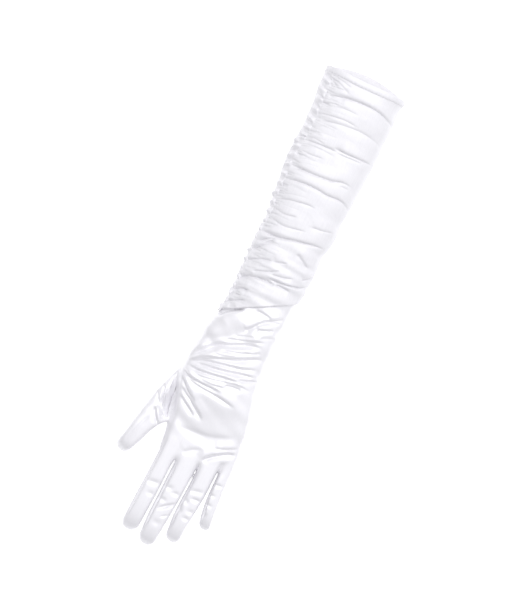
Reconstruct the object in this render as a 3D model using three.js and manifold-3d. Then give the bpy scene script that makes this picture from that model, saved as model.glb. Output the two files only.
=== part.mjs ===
// A long dress glove of white stretch satin, lying on its palm with the back of the hand up.
// The arm is ruched: its cloth is gathered onto one elastic seam that runs down the thumb side,
// so that folds cross the arm from that seam and pinch the cloth at each crease.
// Millimetres. +Z is up from the surface it lies on, +Y points from the wrist to the open cuff,
// and -X is the thumb side. The tables measure from under the middle of the wrist. At the end all
// pieces move so that the origin lies on that surface under the middle of the whole glove.
import * as THREE from 'three';
import { mergeVertices } from 'three/addons/utils/BufferGeometryUtils.js';
import Module from 'manifold-3d';

const wasm = await Module();
wasm.setup();

// Driving dimensions
const WALL = 1.1; // satin with the small wrinkles that thicken it
const HEM_WALL = 2; // the cloth turned in on itself at the cuff
const GAP = 0.3; // clearance between two pieces that are sewn together
const WIDEST = 0.44; // height of the widest point of a section, as a share of its height
const PRESSED = 1.6; // how far the soft underside is pressed flat by the surface
const TOP_SQUARENESS = 2.4; // superellipse exponent of the upper half of a section
const UNDER_SQUARENESS = 3; // and of the half that lies on the surface
const SEAM_WIDTH = 7.2; // the band of bunched cloth along the gathering stitch
const SEAM_RELIEF = 1.7; // how far its puckers stand above the wall
const KNUCKLES = { from: -85, to: -140, squarer: 2 }; // where the section turns boxy for the row of fingers

// The tube of the glove from cuff to finger roots: the two outline edges and the height of each section
const BODY = [
  { y: 228, left: -39, right: 39, height: 33 },
  { y: 200, left: -37.5, right: 38, height: 33 },
  { y: 170, left: -35.5, right: 37, height: 32 },
  { y: 145, left: -36, right: 36, height: 31 },
  { y: 120, left: -36, right: 35.5, height: 31 },
  { y: 95, left: -32.5, right: 35, height: 30 },
  { y: 65, left: -31, right: 34, height: 29 },
  { y: 35, left: -30, right: 32.5, height: 28 },
  { y: 10, left: -29.5, right: 31, height: 27 },
  { y: -10, left: -30.5, right: 29, height: 26 },
  { y: -30, left: -33, right: 28.5, height: 25.5 },
  { y: -62, left: -37.5, right: 29.8, height: 25.5 },
  { y: -80, left: -38.5, right: 32.5, height: 25.5 },
  { y: -97, left: -37, right: 37, height: 24.5 },
  { y: -114, left: -33.5, right: 41, height: 22 },
  { y: -131, left: -30, right: 42.8, height: 19 },
  { y: -145, left: -28, right: 43, height: 17.4 },
  { y: -156, left: -27, right: 42.5, height: 16.4 },
];

// The creases that cross the arm, from the cuff down: where each meets the left edge, the middle and
// the right edge, and how far the fold above it stands over the crease at its left and right ends
const CREASES = [
  { left: 209.5, mid: 207, right: 211, lipLeft: 1.7, lipRight: 0.3 },
  { left: 194, mid: 200.5, right: 191, lipLeft: 1.8, lipRight: 1.9 },
  { left: 184, mid: 189.5, right: 183, lipLeft: 1.3, lipRight: 0.2 },
  { left: 168, mid: 176.5, right: 173, lipLeft: 1.2, lipRight: 1 },
  { left: 160, mid: 166, right: 164, lipLeft: 1.2, lipRight: 0.2 },
  { left: 150, mid: 152.5, right: 155.5, lipLeft: 1.7, lipRight: 1.8 },
  { left: 137, mid: 140.5, right: 142, lipLeft: 1.3, lipRight: 0.3 },
  { left: 124, mid: 126, right: 129, lipLeft: 1.9, lipRight: 1.6 },
  { left: 108.5, mid: 114.5, right: 108, lipLeft: 1.9, lipRight: 1.9 },
  { left: 91, mid: 98.5, right: 100, lipLeft: 1.5, lipRight: 0.3 },
  { left: 78.5, mid: 83, right: 87, lipLeft: 1.3, lipRight: 1 },
  { left: 70, mid: 75, right: 78, lipLeft: 0.9, lipRight: 0.6 },
  { left: 60, mid: 64, right: 70, lipLeft: 1.9, lipRight: 1.9 },
  { left: 44, mid: 54, right: 56, lipLeft: 1.6, lipRight: 0.7 },
  { left: 31, mid: 41.5, right: 45, lipLeft: 1.7, lipRight: 1.5 },
  { left: 22, mid: 26.5, right: 34, lipLeft: 1.2, lipRight: 1.9 },
  { left: 12, mid: 19.5, right: 22, lipLeft: 1.9, lipRight: 1 },
  { left: -3, mid: 7.5, right: 18, lipLeft: 1.3, lipRight: 0.5 },
];

// Lines across the tube where one piece is sewn to the next. `reach` is how much further the middle of
// the underside goes towards the cuff: the mouth of the glove lies slanted, with its lower lip ahead.
const CUFF_RIM = { left: 220.5, mid: 219.8, right: 220.5, reach: 8.4 };
const HEM_SEAM = { left: 214.5, mid: 213.5, right: 214.5, reach: 8 };
const WRIST_SEAM = { left: -22, mid: -4, right: 14, reach: 0 };
const FINGER_ROOTS = { left: -153, mid: -151, right: -134, reach: 0 };

// A fold's height over its crease, from one crease (at 0) down to the next (at 1)
const FOLD_PROFILE = [
  { at: 0, share: 0 },
  { at: 0.45, share: 0.55 },
  { at: 0.85, share: 1 },
];

// The drag lines of the hand: creases that fan out from the root of the thumb, and two at the knuckles
const DRAG_LINES = [
  { from: [-34, -62], via: [-14, -44], to: [20, -35], depth: 1.5 },
  { from: [-30, -70], via: [0, -60], to: [28, -44], depth: 1.4 },
  { from: [-32, -73], via: [2, -68], to: [28, -58], depth: 1.4 },
  { from: [-30, -79], via: [-5, -75], to: [24, -71], depth: 1.1 },
  { from: [-38, -80], via: [-24, -88], to: [8, -88], depth: 1.3 },
  { from: [-37, -87], via: [-28, -97], to: [-6, -108], depth: 1.2 },
  { from: [1, -25], via: [8, -13], to: [24, -4], depth: 1.1 },
  { from: [12, -150], via: [18, -136], to: [42, -132], depth: 1.3 },
];
const DRAG_WIDTH = 2.6; // half the width of a drag line's trough
const DRAG_FULLNESS = 0.9; // how far the cloth between the drag lines stands over the tube

// Thumb and fingers: the middle of the root, which lies inside the hand, the point of the tip,
// and the width and height near each end
const DIGITS = [
  { name: 'thumb', root: [-24, -80], tip: [-60.5, -171.5], width: [29.5, 16], height: [21, 14] },
  { name: 'index_finger', root: [-17.3, -132], tip: [-21.3, -234.5], width: [18, 15], height: [17, 13] },
  { name: 'middle_finger', root: [2.3, -134], tip: [-2, -240], width: [19.8, 15.4], height: [17, 13] },
  { name: 'ring_finger', root: [22.2, -130], tip: [18.8, -228], width: [18.2, 14.6], height: [16.5, 12.5] },
  { name: 'little_finger', root: [36.1, -120], tip: [40.6, -206], width: [11.8, 11.4], height: [15, 11.5] },
];
const JOINT_CREASES = [0.42, 0.66]; // where the knuckle joints pinch a finger's cloth, along its length
const JOINT_PINCH = 0.5;

// Where the gathered seam runs, as an angle up from the right edge and over the back to the thumb side
const SEAM_ANGLE = [
  { y: 228, degrees: 144 },
  { y: 145, degrees: 145 },
  { y: 120, degrees: 152 },
  { y: 95, degrees: 160 },
  { y: 60, degrees: 168 },
  { y: -40, degrees: 172 },
];
const SEAM_CALM = 22; // degrees each side of the seam over which the folds die away
const PUCKER_PITCH = 7.8; // one pucker of the seam, from gather to gather

// How finely the surfaces are cut into facets
const AROUND = 26;
const AROUND_INNER = 20;
const AROUND_HAND = 30;
const AROUND_DIGIT = 14;
const HAND_STEP = 5.6;
const FACET_TOLERANCE = 0.06; // facets that lie flatter than this are merged

const smooth = (t) => {
  const s = THREE.MathUtils.clamp(t, 0, 1);
  return s * s * (3 - 2 * s);
};

// The value of one column of a table at y, on a smooth curve through its rows, which run down from the cuff
function column(table, key, y) {
  const last = table.length - 1;
  if (y >= table[0].y) return table[0][key];
  if (y <= table[last].y) return table[last][key];
  const i = table.findIndex((row) => row.y < y) - 1;
  const slope = (k) => {
    const a = table[Math.max(k - 1, 0)];
    const b = table[Math.min(k + 1, last)];
    return (b[key] - a[key]) / (b.y - a.y);
  };
  const [a, b] = [table[i], table[i + 1]];
  const span = b.y - a.y;
  const t = (y - a.y) / span;
  const ease = t * t * (3 - 2 * t);
  const leave = t * (1 - t) * (1 - t) * span * slope(i);
  const arrive = -t * t * (1 - t) * span * slope(i + 1);
  return a[key] * (1 - ease) + b[key] * ease + leave + arrive;
}

// A closed section: a superellipse whose underside is pressed flat on the surface. It gives the offset
// across the section (-1 to 1), and the height for a section `height` tall that is grown by `grow`
function sectionAt(angle, height, grow, squarer = 0) {
  const upper = Math.sin(angle) >= 0;
  const power = 2 / ((upper ? TOP_SQUARENESS : UNDER_SQUARENESS) + squarer);
  const across = Math.sign(Math.cos(angle)) * Math.abs(Math.cos(angle)) ** power;
  const up = Math.abs(Math.sin(angle)) ** power;
  const middle = WIDEST * height;
  const z = upper
    ? middle + (height - middle + grow) * up
    : Math.max(middle - (middle + PRESSED + grow) * up, -grow);
  return { across, z };
}

// A line across the tube, given by its left, middle and right ends and its reach on the underside.
// `rise` goes from 0 on the underside to 1 on the back.
function lineAt({ left, mid, right, reach = 0 }, across, rise = 1) {
  const onBack = mid + ((right - left) / 2) * across + ((left + right) / 2 - mid) * across ** 2;
  return onBack + reach * (1 - across ** 2) * (1 - rise);
}

function between(lineA, lineB, t) {
  const mix = (key) => THREE.MathUtils.lerp(lineA[key] ?? 0, lineB[key] ?? 0, t);
  return { left: mix('left'), mid: mix('mid'), right: mix('right'), reach: mix('reach') };
}

function lowered(line, drop) {
  return { left: line.left - drop, mid: line.mid - drop, right: line.right - drop, reach: line.reach };
}

// A point of the glove's tube at an angle round it and on a line across it, raised by lift(angle, x, y)
function bodyPoint(angle, line, grow, lift = () => 0) {
  const squarer = KNUCKLES.squarer * smooth((line.mid - KNUCKLES.from) / (KNUCKLES.to - KNUCKLES.from));
  const unit = sectionAt(angle, 1, 0, squarer);
  const y = lineAt(line, unit.across, unit.z);
  const left = column(BODY, 'left', y);
  const right = column(BODY, 'right', y);
  const half = (right - left) / 2;
  const { across, z } = sectionAt(angle, column(BODY, 'height', y), grow, squarer);
  const x = (left + right) / 2 + (half + grow) * across;
  const normal = new THREE.Vector2(Math.cos(angle) / half, Math.sin(angle) / (half * WIDEST)).normalize();
  const raise = lift(angle, x, y);
  return new THREE.Vector3(x + normal.x * raise, y, Math.max(z + normal.y * raise, -grow));
}

function ringOfBody(line, grow, sides, lift) {
  return Array.from({ length: sides }, (_, j) => bodyPoint((2 * Math.PI * j) / sides, line, grow, lift));
}

// A solid skinned over rings of points. Each ring starts at the right edge and goes up and over the
// back. An end is closed across the ring, from each upper point straight down to the one below it.
function skin(rings) {
  const sides = rings[0].length;
  const positions = rings.flat().flatMap((p) => [p.x, p.y, p.z]);
  const index = [];
  const quad = (a, b, c, d) => index.push(a, c, b, a, d, c);
  for (let i = 0; i + 1 < rings.length; i += 1) {
    for (let j = 0; j < sides; j += 1) {
      const next = (j + 1) % sides;
      quad(i * sides + j, (i + 1) * sides + j, (i + 1) * sides + next, i * sides + next);
    }
  }
  const end = (rings.length - 1) * sides;
  for (let j = 0; j < sides / 2; j += 1) {
    const [under, nextUnder] = [(sides - j) % sides, sides - j - 1];
    quad(j, j + 1, nextUnder, under);
    quad(end + under, end + nextUnder, end + j + 1, end + j);
  }
  const geometry = new THREE.BufferGeometry();
  geometry.setAttribute('position', new THREE.Float32BufferAttribute(positions, 3));
  geometry.setIndex(index);
  return solidOf(geometry);
}

function solidOf(geometry) {
  const merged = mergeVertices(geometry, 1e-4);
  const mesh = { numProp: 3, vertProperties: merged.attributes.position.array, triVerts: merged.index.array };
  return new wasm.Manifold(new wasm.Mesh({ ...mesh, triVerts: new Uint32Array(mesh.triVerts) }));
}

// The tube of the glove as a solid, from one line across it to another
function bodySolid(fromLine, toLine, grow, steps, sides, lift) {
  const rings = Array.from({ length: steps + 1 }, (_, i) => between(fromLine, toLine, i / steps));
  return skin(rings.map((line) => ringOfBody(line, grow, sides, lift)));
}

const seamAngle = (y) => THREE.MathUtils.degToRad(column(SEAM_ANGLE, 'degrees', y));

// How much of a fold's height is left at an angle: none on the seam that gathers it
function awayFromSeam(angle, y) {
  return smooth(Math.abs(angle - seamAngle(y)) / THREE.MathUtils.degToRad(SEAM_CALM));
}

// The ruched arm: for each fold, a few rings from its upper crease down to its lip over the next one
function armSleeve(seamChannel) {
  const top = { ...lowered(HEM_SEAM, GAP) };
  const bottom = { ...lowered(WRIST_SEAM, -GAP), lipLeft: 1.8, lipRight: 1.4 };
  const creases = [top, ...CREASES, bottom];
  const rings = [];
  for (let i = 0; i + 1 < creases.length; i += 1) {
    const next = creases[i + 1];
    for (const { at, share } of FOLD_PROFILE) {
      const lift = (angle, x, y) => {
        const toRight = (Math.cos(angle) + 1) / 2;
        return share * THREE.MathUtils.lerp(next.lipLeft, next.lipRight, toRight) * awayFromSeam(angle, y);
      };
      rings.push(ringOfBody(between(creases[i], next, at), 0, AROUND, lift));
    }
  }
  rings.push(ringOfBody(bottom, 0, AROUND));
  const hollow = bodySolid(lowered(HEM_SEAM, -2), lowered(WRIST_SEAM, 2), -WALL, 14, AROUND_INNER);
  return skin(rings).subtract(hollow).subtract(seamChannel);
}

// The hem: the arm's cloth turned in and stitched down, twice as thick, with a rounded rim
function cuffHem() {
  const turned = [
    { at: 0, grow: 0 },
    { at: 0.15, grow: 0.5 },
    { at: 0.85, grow: 0.5 },
    { at: 1, grow: -0.3 },
  ];
  const rings = turned.map(({ at, grow }) => {
    const lift = () => grow;
    return ringOfBody(between(HEM_SEAM, CUFF_RIM, at), 0, AROUND, lift);
  });
  const hollow = bodySolid(lowered(CUFF_RIM, -3), lowered(HEM_SEAM, 3), 0.5 - HEM_WALL, 1, AROUND_INNER);
  return skin(rings.reverse()).subtract(hollow);
}

// A strip of the arm's wall that follows the seam, `wider` than the band of puckers on each side. Its
// puckers lie slantwise: they crest half a pitch later on the stitched side than on the thumb side.
function alongSeam(fromY, toY, wider, below, above) {
  const steps = Math.round((fromY - toY) / (PUCKER_PITCH / 2));
  const columns = [1, 0.35, -0.35, -1];
  const rings = Array.from({ length: steps + 1 }, (_, i) => {
    const y = THREE.MathUtils.lerp(fromY, toY, i / steps);
    const angle = seamAngle(y);
    const flat = { left: y, mid: y, right: y };
    const millimetresPerRadian = bodyPoint(angle - 0.05, flat, 0).distanceTo(bodyPoint(angle + 0.05, flat, 0)) / 0.1;
    const halfAngle = (SEAM_WIDTH / 2 + wider) / millimetresPerRadian;
    const at = (side, height) => bodyPoint(angle - side * halfAngle, flat, 0, () => height);
    const crest = (side) => above * (0.58 + 0.42 * Math.cos(Math.PI * (i + (1 - side) / 2)));
    return [at(1, -below), ...columns.map((side) => at(side, crest(side))), at(-1, -below)];
  });
  return skin(rings);
}

// Distance from a point to the bent line from `from` to `to`, which bends at `via`
function distanceToLine(x, y, { from, via, to }) {
  const steps = 10;
  const point = new THREE.Vector3(x, y, 0);
  const [a, b, c] = [from, via, to].map(([px, py]) => new THREE.Vector3(px, py, 0));
  const curve = new THREE.QuadraticBezierCurve3(a, b.multiplyScalar(2).addScaledVector(a, -0.5).addScaledVector(c, -0.5), c);
  const points = curve.getPoints(steps);
  const segment = new THREE.Line3();
  const nearest = new THREE.Vector3();
  return Math.min(
    ...points.slice(1).map((p, i) => {
      segment.set(points[i], p).closestPointToPoint(point, true, nearest);
      return nearest.distanceTo(point);
    }),
  );
}

// The height of the hand's cloth: full between the drag lines on its back, and plain underneath
function handRelief(angle, x, y) {
  const onBack = smooth(Math.sin(angle) * 2.5);
  const fromEnds = smooth((y - FINGER_ROOTS.right) / -8 + 1.5) * smooth((lineAt(WRIST_SEAM, 0) - y) / 25 + 0.5);
  const troughs = DRAG_LINES.map((line) => line.depth * Math.exp(-((distanceToLine(x, y, line) / DRAG_WIDTH) ** 2)));
  return onBack * (DRAG_FULLNESS * Math.max(fromEnds, 0.4) - Math.max(...troughs));
}

// One finger or the thumb as a solid, from the root inside the hand to the rounded tip
function digitSolid({ root, tip, width, height }, grow, sides, steps) {
  const base = new THREE.Vector2(...root);
  const along = new THREE.Vector2(...tip).sub(base).normalize();
  base.addScaledVector(along, Math.min(grow * 2, 0)); // the hollow runs out through the root
  const length = base.distanceTo(new THREE.Vector2(...tip)) + grow;
  const aside = new THREE.Vector2(-along.y, along.x);
  const domed = width[1] / 2 / length;
  const rings = Array.from({ length: steps + 1 }, (_, i) => {
    const t = Math.sin((Math.PI / 2) * (i / steps)) ** 0.85;
    const tipward = Math.max(0, (t - (1 - domed)) / domed);
    const dome = Math.sqrt(Math.max(1 - tipward ** 2.2, 0.02));
    const pinch = JOINT_PINCH * JOINT_CREASES.reduce((sum, at) => sum + Math.exp(-(((t - at) / 0.03) ** 2)), 0);
    const half = (THREE.MathUtils.lerp(width[0], width[1], t) / 2 + grow - (grow < 0 ? 0 : pinch)) * dome;
    const tall = THREE.MathUtils.lerp(height[0], height[1], t);
    return Array.from({ length: sides }, (_, j) => {
      const { across, z } = sectionAt((2 * Math.PI * j) / sides, tall, grow);
      const domedZ = WIDEST * tall + (z - WIDEST * tall) * dome;
      const centre = base.clone().addScaledVector(along, t * length).addScaledVector(aside, half * across);
      return new THREE.Vector3(centre.x, centre.y, domedZ);
    });
  });
  return skin(rings);
}

function asMesh(name, solid, material) {
  const { numProp, numVert, vertProperties, triVerts } = solid.asOriginal().simplify(FACET_TOLERANCE).getMesh();
  const positions = new Float32Array(numVert * 3);
  for (let i = 0; i < numVert; i += 1) positions.set(vertProperties.subarray(i * numProp, i * numProp + 3), i * 3);
  const geometry = new THREE.BufferGeometry();
  geometry.setAttribute('position', new THREE.BufferAttribute(positions, 3));
  geometry.setIndex(new THREE.BufferAttribute(triVerts, 1));
  geometry.computeVertexNormals();
  const mesh = new THREE.Mesh(geometry, material);
  mesh.name = name;
  return mesh;
}

const cloth = (color, roughness) => new THREE.MeshStandardMaterial({ color, roughness, metalness: 0 });
const satin = () => cloth(0xf6f5f8, 0.34);
const ruched = () => cloth(0xf3f2f5, 0.42);

const wristEnd = lowered(WRIST_SEAM, GAP);
const handSteps = Math.round((wristEnd.mid - FINGER_ROOTS.mid) / HAND_STEP);
const palm = bodySolid(wristEnd, FINGER_ROOTS, 0, handSteps, AROUND_HAND, handRelief);
const palmHollow = bodySolid(lowered(WRIST_SEAM, -2), lowered(FINGER_ROOTS, -WALL), -WALL, 10, AROUND_INNER);

// Everything on the hand's side of the line of finger roots, moved `drop` toward the fingertips
function aboveFingerRoots(drop) {
  const half = AROUND_HAND / 2;
  const line = Array.from({ length: half + 1 }, (_, j) => bodyPoint(Math.PI * (1 - j / half), FINGER_ROOTS, 0));
  const along = line.map((p) => [p.x, p.y - drop]);
  const [leftmost, rightmost] = [along[0], along[half]];
  const corners = [[leftmost[0] - 50, leftmost[1]], ...along, [rightmost[0] + 50, rightmost[1]]];
  const outline = [...corners, [rightmost[0] + 50, 100], [leftmost[0] - 50, 100]];
  return new wasm.CrossSection([outline]).extrude(100).translate([0, 0, -30]);
}

// The hand and its four fingers are one skin, cut along the line of finger roots. The thumb is set in:
// its own skin stops at the side of the hand, round the hole that it opens there.
const glove = new THREE.Group();
const [thumb, ...fingers] = DIGITS.map((digit) => ({
  name: digit.name,
  outer: digitSolid(digit, 0, AROUND_DIGIT, 12),
  hollow: digitSolid(digit, -WALL, AROUND_DIGIT, 7),
}));
let hollow = palmHollow;
let skinned = palm;
for (const finger of fingers) {
  hollow = hollow.add(finger.hollow);
  skinned = skinned.add(finger.outer);
}
const shell = skinned.subtract(hollow);
for (const finger of fingers) {
  const cut = shell.intersect(finger.outer).subtract(aboveFingerRoots(GAP));
  glove.add(asMesh(finger.name, cut, satin()));
}
const handWithGap = bodySolid(wristEnd, FINGER_ROOTS, GAP, handSteps, AROUND_HAND, handRelief);
glove.add(asMesh('thumb', thumb.outer.subtract(thumb.hollow).subtract(handWithGap), satin()));
glove.add(asMesh('hand', shell.intersect(aboveFingerRoots(0)).subtract(thumb.hollow), satin()));

const seamTop = HEM_SEAM.left - GAP;
const seamEnd = WRIST_SEAM.left + GAP;
const seamChannel = alongSeam(seamTop + 4, seamEnd - 4, GAP, 4, 5);
glove.add(asMesh('arm_sleeve', armSleeve(seamChannel), ruched()));
const puckers = alongSeam(seamTop, seamEnd + 2, 0, WALL * 0.7, SEAM_RELIEF);
glove.add(asMesh('gathered_seam', puckers, cloth(0xecebef, 0.5)));
glove.add(asMesh('cuff_hem', cuffHem(), ruched()));

const middle = new THREE.Box3().setFromObject(glove).getCenter(new THREE.Vector3());
for (const mesh of glove.children) mesh.geometry.translate(-middle.x, -middle.y, 0);

export default glove;
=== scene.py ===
import bpy
import numpy as np
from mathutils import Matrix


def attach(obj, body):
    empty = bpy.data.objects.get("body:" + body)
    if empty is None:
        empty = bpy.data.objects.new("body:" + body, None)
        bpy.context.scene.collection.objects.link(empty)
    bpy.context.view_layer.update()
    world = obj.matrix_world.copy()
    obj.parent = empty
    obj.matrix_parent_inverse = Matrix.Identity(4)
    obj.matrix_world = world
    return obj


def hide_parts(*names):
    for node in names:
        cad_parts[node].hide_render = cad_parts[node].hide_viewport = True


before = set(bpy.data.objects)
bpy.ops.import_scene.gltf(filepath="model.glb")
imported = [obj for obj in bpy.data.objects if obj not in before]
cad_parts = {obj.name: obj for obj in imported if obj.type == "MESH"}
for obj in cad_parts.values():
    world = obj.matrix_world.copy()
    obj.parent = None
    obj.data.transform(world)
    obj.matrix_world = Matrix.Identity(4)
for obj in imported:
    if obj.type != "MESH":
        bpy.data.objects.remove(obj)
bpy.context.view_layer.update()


# The ruched arm
# A tube of white stretch satin, one layer of cloth, from the hem to the wrist. It is longer than the
# arm that it covers, so the spare length stands in folds across it, which start at the gathered seam.

SHIFT = np.array([9.83, 6.11, 0.0])  # from the wrist's middle, where the tables start, to the origin
WALL = 1.7  # thickness of the closed wall that stands for 0.4 mm of cloth, so that its folds fit in
WIDEST = 0.44  # where a section is widest, as a share of its height
PRESSED = 1.6  # how far the surface under the glove presses it flat
ROUND_ARM = 176  # points round a section of the arm
OUTER_RINGS, INNER_RINGS = 470, 60  # along the arm, on the cloth's two faces
ARM_LENGTH, TURNED_UNDER = 234, 2  # along the middle from hem to wrist, and of it turned under there

# y, left edge, right edge and height of the tube, from the cuff down to the finger roots
TUBE = np.array([
    (229, -39, 39.2, 33), (220, -39, 39, 33), (210, -38.3, 37.6, 33), (200, -38, 38, 33),
    (190, -37, 38.4, 32.5), (180, -36.5, 37.6, 32), (170, -35.7, 38, 32), (158, -36, 38, 31.5),
    (145, -36.9, 37.5, 31), (130, -36.6, 37, 31), (115, -35, 36, 31), (107, -34, 35.8, 30.5),
    (95, -33, 34.8, 30), (85, -31.2, 35.5, 30), (75, -30.6, 34.8, 29.5), (60, -31, 32, 29),
    (45, -31, 33, 28.5), (35, -30.7, 32.5, 28), (25, -30, 32, 27.5), (10, -29.5, 30.3, 27),
    (0, -30, 29, 26.5), (-10, -31, 27.9, 26), (-18, -33.2, 27.6, 26), (-30, -34.8, 28, 25.5),
    (-45, -36.5, 28, 25.5), (-60, -38, 28.4, 25.5), (-70, -39, 30.4, 25.5), (-80, -39.4, 32.6, 25.5),
    (-90, -39, 35, 24.8), (-100, -37.4, 36.5, 22.6), (-110, -35, 38.2, 20.2), (-118, -32.8, 39.3, 18.5),
    (-125, -31, 40.3, 17.4), (-131, -30, 41.3, 17.0), (-138, -28.8, 42, 16.9),
    (-145, -28, 42.3, 16.8), (-156, -27, 42.5, 16.4),
])

# Lines across the tube at its left edge, middle and right edge, and how much further the underside
# reaches there than the back
HEM_LINE = (214.5, 213.5, 214.5, 8)
WRIST_LINE = (-18.5, -3, 14.5, 0)

# The creases of the arm: depth, half width, and the points of the line from left to right
ARM_CREASES = [
    (1.9, 1.5, [(-36, 213), (-30, 209.5), (-25, 207), (-21, 203.5)]),
    (1.1, 1.2, [(-33, 211), (-24, 209.5), (-16, 206.5), (-8, 202.5)]),
    (0.9, 1.1, [(-30, 213), (-20, 211.8), (-9, 209)]),
    (1.2, 1.0, [(-30, 204), (-20, 204.5), (-13, 205.5)]),
    (3.4, 1.7, [(-29, 194.5), (-20, 197), (-10, 199.3), (0, 200.5), (10, 201), (20, 200.5), (30, 198),
                (36, 195.5), (38.6, 188)]),
    (1.5, 2.6, [(-27, 195), (-19, 195.5), (-10, 198)]),
    (1.5, 1.2, [(-28, 186.5), (-20, 190), (-12, 191)]),
    (1.1, 1.4, [(-28, 182.5), (-20, 187), (-12, 189.5), (7, 190)]),
    (1.2, 1.3, [(-28, 176.5), (-18, 179), (-5, 180.7), (12, 180)]),
    (0.9, 1.0, [(-28, 173), (-20, 176)]),
    (1.6, 2.2, [(-28, 169.5), (-20, 172.5), (-10, 175), (0, 176.5), (15, 177.5), (30, 175.5),
                (38, 172)]),
    (0.9, 1.0, [(-28, 164), (-19, 167.5)]),
    (1.1, 1.1, [(-29, 159.5), (-17, 161.5)]),
    (1.1, 1.1, [(-28, 154), (-18, 155), (-10, 153.5)]),
    (2.5, 1.6, [(-30, 150.3), (-20, 151.3), (-10, 152), (4, 152.5)]),
    (2.8, 1.5, [(-2, 155), (10, 154.3), (20, 154.8), (30, 155.3), (38, 156)]),
    (1.6, 1.4, [(2, 151.8), (12, 151.7), (20, 152.3), (29, 152.6)]),
    (0.7, 1.2, [(-29, 147), (-18, 148.5), (3, 147.5)]),
    (0.9, 1.2, [(-28, 140.5), (-15, 140.5), (-5, 142)]),
    (0.9, 1.0, [(-29, 136), (-20, 138)]),
    (1.3, 1.1, [(-35, 130.5), (-25, 130.5)]),
    (3.2, 1.7, [(-34, 124), (-28, 125.3), (-20, 125), (-10, 125.3), (0, 126), (10, 127.2), (20, 130),
                (31, 129)]),
    (1.1, 1.5, [(18, 126.5), (27, 126.3)]),
    (3.2, 1.8, [(-32, 110.5), (-20, 113.5), (0, 114.7), (10, 113.7), (28, 113.5), (33, 111),
                (36.5, 106)]),
    (1.8, 1.5, [(-29, 92), (-18, 95.5), (-10, 97), (0, 98.5), (8, 98.5)]),
    (1.3, 1.3, [(-29, 84), (-15, 82.5), (-3, 85)]),
    (1.4, 1.4, [(10, 82), (20, 83), (32, 86)]),
    (1.5, 1.4, [(-30, 76), (-12, 72.5), (0, 74.5), (10, 76.5)]),
    (3.4, 1.8, [(-31, 61), (-20, 60.8), (-10, 61.5), (0, 64), (10, 66), (20, 68), (33, 69.5)]),
    (2.6, 1.6, [(-30, 41), (-25, 46), (-20, 52), (-14, 59)]),
    (1.9, 1.2, [(-28, 50), (-20, 56.5), (-13, 59.5)]),
    (1.6, 1.2, [(9, 55.5), (17, 51.5), (25, 46.5)]),
    (2.0, 1.3, [(-30, 30.5), (-22, 35.5), (-15, 38), (-7, 40)]),
    (1.1, 1.1, [(-6, 39.5), (6, 43.5)]),
    (1.4, 1.1, [(-21, 23.5), (-14, 27), (-8, 29), (4, 35.5)]),
    (1.4, 1.1, [(-4, 28.5), (8, 30.5), (17, 33.5)]),
    (2.8, 1.5, [(-6, 24.3), (10, 25), (20, 27), (27, 29), (33, 35)]),
    (2.2, 1.2, [(24, 35), (30, 40), (33, 47)]),
    (3.6, 2.1, [(-30, 12), (-25, 17), (-18, 19.5), (-10, 21), (0, 21), (6, 19.2)]),
    (2.2, 1.5, [(4, 22), (12, 22), (19, 21)]),
    (2.6, 1.5, [(-30, 2.5), (-22, 6), (-15, 7)]),
    (2.6, 1.5, [(-31, -9.5), (-22, -5.5), (-14, -2)]),
]


def smooth_through(at, values, x):
    """A smooth curve through a table's points: a cubic piece between two points, whose slope at each
    point is that from the point before it to the point after it."""
    slope = np.gradient(values, at)
    i = np.clip(np.searchsorted(at, x) - 1, 0, len(at) - 2)
    span = at[i + 1] - at[i]
    t = np.clip((x - at[i]) / span, 0, 1)
    ease = t * t * (3 - 2 * t)
    bend = t * (1 - t) * ((1 - t) * slope[i] - t * slope[i + 1]) * span
    return values[i] * (1 - ease) + values[i + 1] * ease + bend


def tube_size(y):
    """The left edge, right edge and height of the tube at y."""
    rows = TUBE[::-1]
    return [smooth_through(rows[:, 0], rows[:, k], y) for k in (1, 2, 3)]


def smoothstep(t):
    """0 below 0, 1 above 1, and a smooth S between."""
    t = np.clip(t, 0, 1)
    return t * t * (3 - 2 * t)


def section(angle, height, grow, squarer=0.0):
    """A section of the tube: a superellipse of power 2.4 above and 3 below, plus `squarer`, whose
    lower half is pushed down through the surface it lies on and cut off there. Gives the offset
    across, from -1 to 1, and the height, on the face that lies `grow` outside the cloth."""
    sine, cosine = np.sin(angle), np.cos(angle)
    power = 2 / (np.where(sine >= 0, 2.4, 3.0) + squarer)
    across = np.sign(cosine) * np.abs(cosine) ** power
    up = np.abs(sine) ** power
    middle = WIDEST * height
    below = np.maximum(middle - (middle + PRESSED + grow) * up, -grow)
    return across, np.where(sine >= 0, middle + (height - middle + grow) * up, below)


def even_angles(count):
    """Angles round a middling section that put its points at even steps along the cloth."""
    half_width, height = 34, 29.0
    angle = np.linspace(0, 2 * np.pi, 2001)
    across, z = section(angle, height, 0.0)
    run = np.r_[0, np.cumsum(np.hypot(np.diff(across * half_width), np.diff(z)))]
    return np.interp(np.arange(count) / count * run[-1], run, angle)


def line_across(line, across, rise):
    """y of a line across the tube: a parabola through its left, middle and right ends, moved towards
    the cuff on the underside, most in the middle of it. rise is the height as a share of the tube's."""
    left, mid, right, reach = line
    y = mid + (right - left) / 2 * across + ((left + right) / 2 - mid) * across ** 2
    return y + reach * (1 - across ** 2) * (1 - np.clip(rise, 0, 1))


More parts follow.
